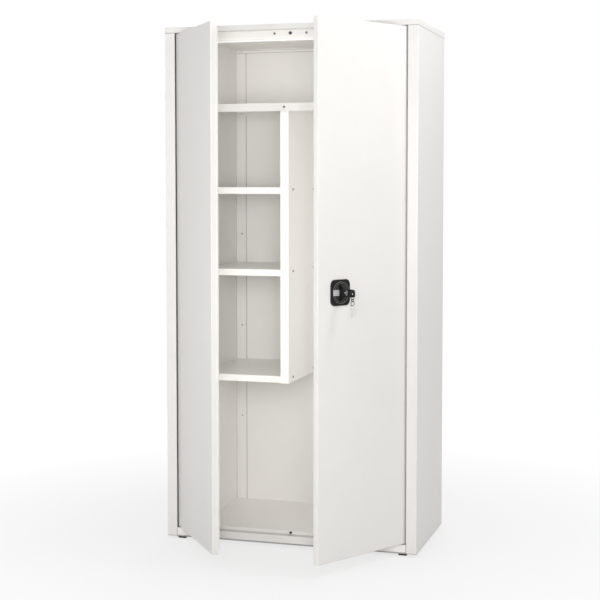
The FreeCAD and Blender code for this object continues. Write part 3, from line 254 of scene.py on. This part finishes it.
class Value:
    """A shader socket. Arithmetic on it adds Math nodes."""

    def __init__(self, finish, socket):
        self.finish = finish
        self.socket = socket

    def __add__(self, other):
        return self.finish.maths("ADD", self, other)

    def __radd__(self, other):
        return self.finish.maths("ADD", other, self)

    def __sub__(self, other):
        return self.finish.maths("SUBTRACT", self, other)

    def __rsub__(self, other):
        return self.finish.maths("SUBTRACT", other, self)

    def __mul__(self, other):
        return self.finish.maths("MULTIPLY", self, other)

    def __rmul__(self, other):
        return self.finish.maths("MULTIPLY", other, self)

    def __truediv__(self, other):
        return self.finish.maths("DIVIDE", self, other)

    def __rtruediv__(self, other):
        return self.finish.maths("DIVIDE", other, self)


class Finish:
    """The nodes of a material or of the world, which all come from one method."""

    def __init__(self, owner):
        owner.use_nodes = True
        self.owner = owner
        self.tree = owner.node_tree
        self.tree.nodes.clear()

    def node(self, kind, settings=None, inputs=None, output=0):
        made = self.tree.nodes.new(kind)
        for name, setting in (settings or {}).items():
            if name == "stops":
                ramp = made.color_ramp
                while len(ramp.elements) < len(setting):
                    ramp.elements.new(0.5)
                for stop, (place, grey) in zip(ramp.elements, setting):
                    stop.position = place
                    stop.color = (grey, grey, grey, 1)
            else:
                setattr(made, name, setting)
        for name, value in (inputs or {}).items():
            if isinstance(value, Value):
                self.tree.links.new(value.socket, made.inputs[name])
            else:
                made.inputs[name].default_value = value
        return Value(self, made.outputs[output]) if made.outputs else None

    def maths(self, operation, first, second):
        return self.node("ShaderNodeMath", {"operation": operation}, {0: first, 1: second})

    def place(self):
        return self.node("ShaderNodeTexCoord", output="Object")

    def stretched(self, scale, turn=(0, 0, 0)):
        return self.node("ShaderNodeMapping", {"vector_type": "POINT"},
                         {"Vector": self.place(), "Scale": scale, "Rotation": turn})

    def noise(self, scale, detail=2.0, rough=0.5, at=None):
        return self.node("ShaderNodeTexNoise", None,
                         {"Vector": at or self.place(), "Scale": scale, "Detail": detail,
                          "Roughness": rough})

    def near(self, axis, middle, half):
        """1 within half of the middle along an axis, falling to 0 over as much again."""
        part = self.node("ShaderNodeSeparateXYZ", None, {"Vector": self.place()}, output=axis)
        away = self.node("ShaderNodeMath", {"operation": "ABSOLUTE"}, {0: part - middle})
        return self.node("ShaderNodeMath", {"operation": "MULTIPLY", "use_clamp": True},
                         {0: (2 * half - away) / half, 1: 1.0})

    def ramp(self, value, *stops):
        return self.node("ShaderNodeValToRGB", {"stops": stops}, {"Fac": value})

    def mixed(self, mask, below, above):
        return self.node("ShaderNodeMix", {"data_type": "RGBA"},
                         {0: mask, 6: below, 7: above}, output=2)

    def bump(self, height, depth, strength=1.0, over=None):
        links = {"Height": height, "Distance": depth, "Strength": strength}
        if over:
            links["Normal"] = over
        return self.node("ShaderNodeBump", None, links)

    def seen(self):
        """1 for what the camera sees straight, in a reflection or through glass."""
        straight, mirrored, through = [
            self.node("ShaderNodeLightPath", output=name)
            for name in ("Is Camera Ray", "Is Glossy Ray", "Is Transmission Ray")]
        return self.maths("MAXIMUM", self.maths("MAXIMUM", straight, mirrored), through)

    def close(self, shader, kind="ShaderNodeOutputMaterial"):
        self.node(kind, None, {"Surface": shader})
        return self.owner

    def done(self, **sockets):
        return self.close(self.node("ShaderNodeBsdfPrincipled", None, {
            name.replace("_", " "): value for name, value in sockets.items()}))


def new_finish(name):
    return Finish(bpy.data.materials.new(name))


def shade(tone, factor=1.0):
    return (*[min(1.0, part * factor) for part in tone], 1)


def powder_coat(name, tone, rough, scuff=0.0, along=(1, 1, 1), painted_shade=()):
    """Satin powder coat on thin sheet: orange peel, slow waves, faint mottling and rubs,
    and painted shade in the seams, each a strength and the (axis, middle, half) bands it lies
    in."""
    coat = new_finish(name)
    cloud = coat.noise(2.3, 3, 0.55)
    fine = coat.noise(60, 2, 0.6)
    tint = coat.mixed(coat.ramp(cloud * 0.8 + fine * 0.2, (0.35, 0), (0.68, 1)),
                      shade(tone, 0.972), shade(tone, 1.008))
    roughness = rough - 0.05 + coat.noise(9, 4, 0.6) * 0.1
    if scuff:
        rubs = coat.ramp(coat.noise(7, 6, 0.72, coat.stretched(along)), (0.60, 0), (0.70, 1))
        patch = coat.ramp(coat.noise(3.1, 2, 0.5), (0.45, 0), (0.62, 1))
        worn = rubs * patch * scuff
        tint = coat.mixed(worn, tint, shade(tone, 0.55))
        roughness = roughness + worn * 1.2
    size = bpy.context.scene.cabinet_coat
    # Painted shade: each band darkens the coat where shadow falls in a seam, gap or corner.
    for strength, *bands in painted_shade:
        mask = cloud * 0.3 + strength - 0.15
        for axis, middle, half in bands:
            mask = mask * coat.near(axis, middle, half)
        tint = coat.mixed(mask, tint, shade(size.painted_shade))
    waves = coat.bump(coat.noise(3.4, 1, 0.4), size.waves, 0.5)
    peel = coat.bump(coat.noise(520, 2, 0.5), size.peel, 0.6, waves)
    return coat.done(Base_Color=tint, Roughness=roughness, Normal=peel, IOR=1.5,
                     Coat_Weight=0.12, Coat_Roughness=0.2)


def zinc_plate(name, tone, rough=0.34):
    """Bright zinc with faint spangle, drawing lines and dull patches."""
    metal = new_finish(name)
    flakes = metal.node("ShaderNodeTexVoronoi", {"feature": "F1"},
                        {"Vector": metal.place(), "Scale": 190.0}, output="Color")
    flake = metal.node("ShaderNodeSeparateColor", None, {"Color": flakes}, output=0)
    dull = metal.noise(28, 4, 0.6)
    lines = metal.noise(9, 2, 0.6, metal.stretched((90, 90, 4)))
    tint = metal.mixed(flake * 0.4 + dull * 0.6, shade(tone, 0.86), shade(tone, 1.1))
    return metal.done(Base_Color=tint, Metallic=1.0,
                      Roughness=rough - 0.08 + dull * 0.16 + flake * 0.06,
                      Normal=metal.bump(lines, bpy.context.scene.cabinet_metal.drawing, 0.5))


def turned_metal(name, tone, rough, scratch=0.3):
    """Machined or polished metal with hairlines."""
    metal = new_finish(name)
    hair = metal.noise(35, 3, 0.7, metal.stretched((40, 6, 40), (0.5, 0.2, 0.9)))
    cloud = metal.noise(70, 3, 0.6)
    depth = bpy.context.scene.cabinet_metal.hairlines
    return metal.done(Base_Color=metal.mixed(cloud, shade(tone, 0.9), shade(tone, 1.06)),
                      Metallic=1.0, Roughness=rough + (hair - 0.5) * 0.1 + cloud * 0.05,
                      Normal=metal.bump(hair, depth, scratch))


def moulding(name, tone, rough, grain, dust, shine=0.25):
    """Grained moulding with a breath of dust."""
    resin = new_finish(name)
    grains = resin.node("ShaderNodeTexVoronoi", {"feature": "SMOOTH_F1"},
                        {"Vector": resin.place(), "Scale": grain})
    haze = resin.ramp(resin.noise(160, 5, 0.75), (0.5, 0), (0.8, 1))
    size = bpy.context.scene.cabinet_moulded
    return resin.done(Base_Color=resin.mixed(haze * dust, shade(tone), shade(size.dust)),
                      Roughness=rough + haze * 0.2 + grains * 0.05,
                      Specular_IOR_Level=shine,
                      Normal=resin.bump(grains, size.grain, 0.5))


# Modelling helpers


def clear_selection():
    if bpy.context.object and bpy.context.object.mode != "OBJECT":
        bpy.ops.object.mode_set(mode="OBJECT")
    bpy.ops.object.select_all(action="DESELECT")


def choose(piece):
    clear_selection()
    piece.select_set(True)
    bpy.context.view_layer.objects.active = piece


def active(name):
    """The primitive just added, under its own name."""
    piece = bpy.context.object
    piece.name = name
    piece.data.name = name
    return piece


def apply_all(piece):
    choose(piece)
    for modifier in list(piece.modifiers):
        bpy.ops.object.modifier_apply(modifier=modifier.name)


def bevelled(piece, width, segments=3, limit=30.0):
    rounding = piece.modifiers.new("rounding", "BEVEL")
    rounding.width = width
    rounding.segments = segments
    rounding.limit_method = "ANGLE"
    rounding.angle_limit = math.radians(limit)
    apply_all(piece)


def smooth(piece, angle=35.0):
    choose(piece)
    bpy.ops.object.shade_smooth_by_angle(angle=math.radians(angle))


def settle(piece, body, slot, material, *nodes):
    """Puts a finished piece's place in its mesh, and hands it to its body."""
    choose(piece)
    bpy.ops.object.transform_apply(location=True, rotation=True, scale=True)
    piece.data.materials.clear()
    piece.data.materials.append(material)
    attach(piece, body)
    if nodes:
        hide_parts(*nodes)


def placed_copy(model, name, matrix):
    """A copy with its own mesh, moved in that mesh."""
    twin = model.copy()
    twin.data = model.data.copy()
    twin.name = twin.data.name = name
    twin.data.transform(matrix)
    bpy.context.collection.objects.link(twin)
    return twin


def merged_copy(node, name, reach=0.00001, flat=2.0):
    """A copy of a node's mesh with its corners merged and its flat faces whole."""
    source = frame["nodes"][node]
    twin = bpy.data.objects.new(name, source.data.copy())
    twin.data.name = name
    bpy.context.collection.objects.link(twin)
    twin.data.transform(source.matrix_world)
    choose(twin)
    bpy.ops.object.mode_set(mode="EDIT")
    bpy.ops.mesh.select_all(action="SELECT")
    bpy.ops.mesh.remove_doubles(threshold=reach)
    bpy.ops.mesh.normals_make_consistent(inside=False)
    bpy.ops.mesh.dissolve_limited(angle_limit=math.radians(flat))
    bpy.ops.object.mode_set(mode="OBJECT")
    return twin


def facing(place, direction, spin=0.0):
    """A place with +Z turned to a direction."""
    turn = Vector(direction).to_track_quat("Z", "Y").to_matrix().to_4x4()
    return Matrix.Translation(place) @ turn @ Matrix.Rotation(spin, 4, "Z")


def hoop(name, place, direction, radius, wire, steps):
    """A ring of round wire about a direction, in steps round the ring and its wire."""
    clear_selection()
    bpy.ops.mesh.primitive_torus_add(major_segments=steps[0], minor_segments=steps[1],
                                     major_radius=radius, minor_radius=wire)
    ring = active(name)
    ring.matrix_world = facing(place, direction)
    bpy.context.view_layer.update()
    smooth(ring, 80)
    return ring


def joint(name):
    """Where a joint lies and which way its axis points."""
    found = next(row for row in frame["joints"] if row["name"] == name)
    return Vector(found["pos_m"]), Vector(found["axis"])


def screw_head(size):
    """A dome with a cross recess, standing on the floor at the origin."""
    clear_selection()
    bpy.ops.mesh.primitive_cylinder_add(vertices=24, radius=size.head_radius,
                                        depth=size.head_height,
                                        location=(0, 0, size.head_height / 2))
    head = active("screw_head")
    bpy.ops.object.transform_apply(location=True)
    bpy.ops.object.mode_set(mode="EDIT")
    bpy.ops.mesh.select_all(action="DESELECT")
    bpy.ops.object.mode_set(mode="OBJECT")
    for edge in head.data.edges:
        edge.select = all(head.data.vertices[i].co.z > size.head_height / 2
                          for i in edge.vertices)
    bpy.ops.object.mode_set(mode="EDIT")
    bpy.ops.mesh.select_mode(type="EDGE")
    bpy.ops.mesh.bevel(offset=size.head_height * size.dome, segments=4, profile=0.5)
    bpy.ops.object.mode_set(mode="OBJECT")
    for turn in (0, 90):
        clear_selection()
        bpy.ops.mesh.primitive_cube_add(size=1, location=(0, 0, size.head_height),
                                        rotation=(0, 0, math.radians(turn)))
        arm = active("recess_arm")
        arm.scale = (size.recess, size.recess_width, 2 * size.recess_depth)
        bpy.context.view_layer.update()
        cut = head.modifiers.new("recess", "BOOLEAN")
        cut.operation = "DIFFERENCE"
        cut.solver = "EXACT"
        cut.object = arm
        apply_all(head)
        bpy.data.objects.remove(arm)
    smooth(head, 40)
    return head


def screw_places(size):
    """Where each screw's head sits, and which way it faces."""
    right = (1, 0, 0)
    forward = (0, -1, 0)
    wall_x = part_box("upper_shelf")[0].x
    divider_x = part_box("upper_shelf")[1].x
    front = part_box("upper_shelf")[0].y
    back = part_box("back_panel")[0].y
    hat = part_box("hat_shelf")
    rail_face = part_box("top_front_rail")[0].y + size.rail_depth
    places = []
    for shelf in ("upper_shelf", "middle_shelf", "lower_shelf"):
        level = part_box(shelf)[1].z - size.below
        for depth in size.depths:
            places.append(((divider_x + size.sheet, front + depth, level), right))
            places.append(((wall_x + size.sheet, front + depth, level), right))
    for depth in (size.depths[0], size.hat_depth):
        places.append(((divider_x + size.sheet, front + depth, hat[1].z - size.below), right))
    flange_x = wall_x + size.flange_inset
    divider_screw_x = divider_x - size.divider_inset
    for level in size.wall_levels:
        places.append(((flange_x, back - size.sheet, level), forward))
    for level in size.hat_levels:
        places.append(((flange_x, back, level), forward))
    places.append(((divider_screw_x, back, size.hat_levels[1]), forward))
    places.append(((divider_screw_x, hat[0].y, size.lip_level), forward))
    for side in (-1, 1):
        places.append(((side * size.rail_spread, rail_face, size.rail_level), forward))
    return places


# Steps

materials = {}


class CABINET_OT_coat(bpy.types.Operator):
    """Mixes every finish and coats the solids with them"""
    bl_idname = "cabinet.coat"
    bl_label = "Coat the sheets"

    def execute(self, context):
        self.mix_coats(context.scene.cabinet_coat, context.scene.cabinet_seam)
        self.mix_hardware(context.scene.cabinet_metal, context.scene.cabinet_moulded)
        for finish, names in COATS.items():
            for name in names.split():
                mesh = frame["nodes"][name].data
                mesh.materials.clear()
                mesh.materials.append(materials[finish])
        return {"FINISHED"}

    def mix_coats(self, coat, seam):
        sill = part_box("bottom_sill")
        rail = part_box("top_front_rail")[0]
        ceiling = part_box("ceiling_panel")[0].z
        half = seam.half
        jamb = sill[1].x
        lip = (0.45, (2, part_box("top_cap")[1].z - seam.cap_lip, half))
        foot = (0.45, (2, sill[0].z, 2 * half))
        jambs = [(0.9, (0, side * jamb, half)) for side in (-1, 1)]
        strips = [(0.85, (0, side * (jamb - seam.jamb_strip), seam.strip_half),
                   (1, rail.y + seam.strip_depth, half)) for side in (-1, 1)]
        # Bands of painted shade, dark lines where shadow falls: under the cap's lip, along the
        # bottom of the sides, in the jamb gaps and the rebate strips behind them, along the
        # sill's, rail's and ceiling's edges and hems, in the lining's back corner and at the
        # edge of its flange on the back.
        painted_shade = {
            "side": (lip, foot, *jambs, *strips),
            "cap": (lip,),
            "sill": ((0.65, (2, sill[0].z, 3.5 * half)), (0.3, (2, sill[1].z, 0.7 * half))),
            "rail": ((0.4, (2, rail.z, half)), (0.3, (2, rail.z + seam.rail_hem, half / 2))),
            "ceiling": ((0.55, (2, ceiling, half)),
                        (0.4, (2, ceiling + seam.ceiling_hem, 0.7 * half))),
            "lining": ((0.45, (1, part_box("back_panel")[0].y - seam.corner, 1.3 * half)),),
            "back": ((0.5, (0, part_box("upper_shelf")[0].x + seam.flange, half)),),
        }
        for name, bands in painted_shade.items():
            # The paler inside tone on the parts within is painted light; the sides and cap keep
            # the shell tone.
            tone = coat.shell if name in ("side", "cap") else coat.inside
            materials[name] = powder_coat(f"{name}_powder_coat", tone, coat.gloss,
                                          painted_shade=bands)
        # The divider and shelves take the paler inside tone too, as painted light.
        materials["inside"] = powder_coat("inside_powder_coat", coat.inside, coat.gloss + 0.02)
        materials["shelf"] = powder_coat("shelf_powder_coat", coat.inside, coat.gloss - 0.04,
                                         coat.scuff, (1, 6, 1))
        materials["door"] = powder_coat("door_powder_coat", coat.doors, coat.gloss)

    def mix_hardware(self, metal, moulded):
        materials.update(
            zinc=zinc_plate("zinc_plate", metal.plated),
            screw=zinc_plate("screw_zinc", metal.screw, 0.30),
            chrome=turned_metal("barrel_chrome", metal.chrome, 0.22),
            key=turned_metal("key_steel", metal.key, 0.28, 0.5),
            wire=turned_metal("ring_wire", metal.wire, 0.34, 0.4),
            lock=moulding("lock_moulding", moulded.lock, 0.44, 1400, 0.05, 0.16),
            # The beads' grey is a painted highlight on the black moulding.
            bead=moulding("lock_bead_moulding", moulded.bead, 0.24, 1400, 0.04, 0.6),
            grip=moulding("key_grip_moulding", moulded.key_grip, 0.30, 1600, 0.05),
            pad=moulding("plain_pad_moulding", moulded.pad, 0.55, 1200, 0.05),
            rubber=moulding("buffer_rubber", moulded.buffer, 0.62, 700, 0.2),
            foot=moulding("foot_moulding", moulded.foot, 0.5, 600, 0.3),
        )


class CABINET_OT_screws(bpy.types.Operator):
    """Dome-headed screws with a cross recess, where the sheets are screwed together"""
    bl_idname = "cabinet.screws"
    bl_label = "Add the screws"

    def execute(self, context):
        size = context.scene.cabinet_screw
        head = screw_head(size)
        for count, (place, direction) in enumerate(screw_places(size)):
            screw = placed_copy(head, f"screw_{count + 1:02d}",
                                facing(place, direction, size.spin * count))
            if direction[1] < 0 < place[1]:
                # Screws on the back take the lining's coat, with its line of painted shade near
                # the back's corner.
                settle(screw, "cabinet", "inner_steel", materials["lining"])
            else:
                settle(screw, "cabinet", "plated_steel", materials["screw"])
        bpy.data.objects.remove(head)
        return {"FINISHED"}


class CABINET_OT_lock(bpy.types.Operator):
    """Rounds the turning grip and the key's grip, and lays the beads round the lock"""
    bl_idname = "cabinet.lock"
    bl_label = "Finish the lock"

    def execute(self, context):
        size = context.scene.cabinet_lock
        for node, name, edge, body, slot, finish in (
            ("turn_handle", "turning_grip", size.grip_edge, "handle", "black_lock", "lock"),
            ("key_head", "key_grip", size.key_edge, "key", "black_key", "grip"),
        ):
            piece = merged_copy(node, name)
            bevelled(piece, edge)
            smooth(piece)
            settle(piece, body, slot, materials[finish], node)
        pivot, inward = joint("handle_turn")
        low = pivot - inward * size.plate_face
        high = low - inward * size.bead_step
        beads = []
        for low_radius, high_radius in zip(size.low_beads, size.high_beads):
            beads += [(low_radius, low), (high_radius, high)]
        for count, (radius, place) in enumerate(beads):
            bead = hoop(f"lock_bead_{count + 1}", place, inward, radius, size.bead, (64, 10))
            settle(bead, "right_door", "black_lock", materials["bead"])
        return {"FINISHED"}


class CABINET_OT_rings(bpy.types.Operator):
    """Bends the round-wire rings that join the key and the spare key"""
    bl_idname = "cabinet.rings"
    bl_label = "Add the key rings"

    def execute(self, context):
        size = context.scene.cabinet_lock
        across = joint("key_ring_swing")[1]
        inward = joint("key_turn")[1]
        for node, name, direction in (("upper_ring", "upper_wire_ring", inward),
                                      ("middle_link", "middle_wire_link", across),
                                      ("lower_ring", "lower_wire_ring", inward)):
            low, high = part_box(node)
            ring = hoop(name, (low + high) / 2, direction,
                        (high.z - low.z) / 2 - size.ring_inset, size.wire, (36, 12))
            settle(ring, "key_ring", "ring_wire", materials["wire"], node)
        return {"FINISHED"}


class CABINET_OT_studio(bpy.types.Operator):
    """Pale floor, soft lamps and the camera at the photographed angle"""
    bl_idname = "cabinet.studio"
    bl_label = "Set up the studio"

    def execute(self, context):
        studio = context.scene.cabinet_studio
        self.lay_floor(studio)
        self.light_world(context.scene, studio)
        for name, row in LAMPS.items():
            self.hang_lamp(f"{name}_lamp", getattr(studio, f"{name}_power"), *row)
        self.stand_camera(context.scene, studio)
        context.scene.view_settings.view_transform = "Standard"
        return {"FINISHED"}

    def lay_floor(self, studio):
        """A floor that keeps the shadow near the cabinet and fades to white round it."""
        clear_selection()
        bpy.ops.mesh.primitive_plane_add(size=studio.floor_size, location=(0, 0, 0))
        floor = active("studio_floor")
        ground = new_finish("studio_floor")
        away = ground.node("ShaderNodeVectorMath", {"operation": "LENGTH"},
                           {0: ground.place()}, output="Value")
        clear = ground.ramp(away / studio.clear_reach, (0.12, 0.72), (0.42, 1.0))
        matt = ground.node("ShaderNodeBsdfDiffuse", None, {"Color": shade(studio.floor)})
        white = ground.node("ShaderNodeEmission", None,
                            {"Color": (1, 1, 1, 1), "Strength": 1.0})
        floor.data.materials.append(ground.close(ground.node(
            "ShaderNodeMixShader", None, {0: ground.seen() * clear, 1: matt, 2: white})))

    def light_world(self, scene, studio):
        """White where the camera looks, and dimmer as a light."""
        scene.world = bpy.data.worlds.new("studio_world")
        sky = Finish(scene.world)
        strength = sky.seen() * (1.0 - studio.world) + studio.world
        light = sky.node("ShaderNodeBackground", None,
                         {"Color": (1, 1, 1, 1), "Strength": strength})
        sky.close(light, "ShaderNodeOutputWorld")

    def hang_lamp(self, name, power, place, aim, width, height):
        turn = (Vector(aim) - Vector(place)).to_track_quat("-Z", "Y").to_euler()
        bpy.ops.object.light_add(type="AREA", location=place, rotation=turn)
        lamp = active(name)
        lamp.data.energy = power
        lamp.data.size = width
        if height:
            lamp.data.shape = "RECTANGLE"
            lamp.data.size_y = height
        else:
            lamp.data.shape = "DISK"
        lamp.visible_camera = False

    def stand_camera(self, scene, studio):
        bpy.ops.object.camera_add(location=studio.camera_place,
                                  rotation=(math.radians(90) - studio.camera_tilt, 0,
                                            studio.camera_turn))
        camera = active("photograph_camera")
        camera.data.sensor_width = studio.camera_sensor
        camera.data.lens = studio.camera_lens
        camera.data.shift_x = studio.shift_x
        camera.data.shift_y = studio.shift_y
        camera.data.clip_end = studio.camera_reach
        scene.camera = camera


class CABINET_PT_build(bpy.types.Panel):
    """Steps that dress the cabinet"""
    bl_idname = "CABINET_PT_build"
    bl_label = "Utility cabinet"
    bl_space_type = "VIEW_3D"
    bl_region_type = "UI"
    bl_category = "Cabinet"

    def draw(self, context):
        for step in STEPS:
            self.layout.operator(step.bl_idname)
        for group in GROUPS:
            box = self.layout.box()
            settings = getattr(context.scene, group)
            for name in settings.__annotations__:
                box.prop(settings, name)


STEPS = (CABINET_OT_coat, CABINET_OT_screws, CABINET_OT_lock, CABINET_OT_rings,
         CABINET_OT_studio)
GROUPS = {
    "cabinet_coat": CoatSettings,
    "cabinet_seam": SeamSettings,
    "cabinet_metal": MetalSettings,
    "cabinet_moulded": MouldedSettings,
    "cabinet_screw": ScrewSettings,
    "cabinet_lock": LockSettings,
    "cabinet_studio": StudioSettings,
}


def register():
    for group in (*GROUPS.values(), *STEPS, CABINET_PT_build):
        bpy.utils.register_class(group)
    for name, group in GROUPS.items():
        setattr(bpy.types.Scene, name, PointerProperty(type=group))


def unregister():
    for name in GROUPS:
        delattr(bpy.types.Scene, name)
    for group in (CABINET_PT_build, *STEPS[::-1], *GROUPS.values()):
        bpy.utils.unregister_class(group)


def main():
    register()
    bpy.ops.cabinet.coat()
    bpy.ops.cabinet.screws()
    bpy.ops.cabinet.lock()
    bpy.ops.cabinet.rings()
    bpy.ops.cabinet.studio()


if __name__ == "__main__":
    main()
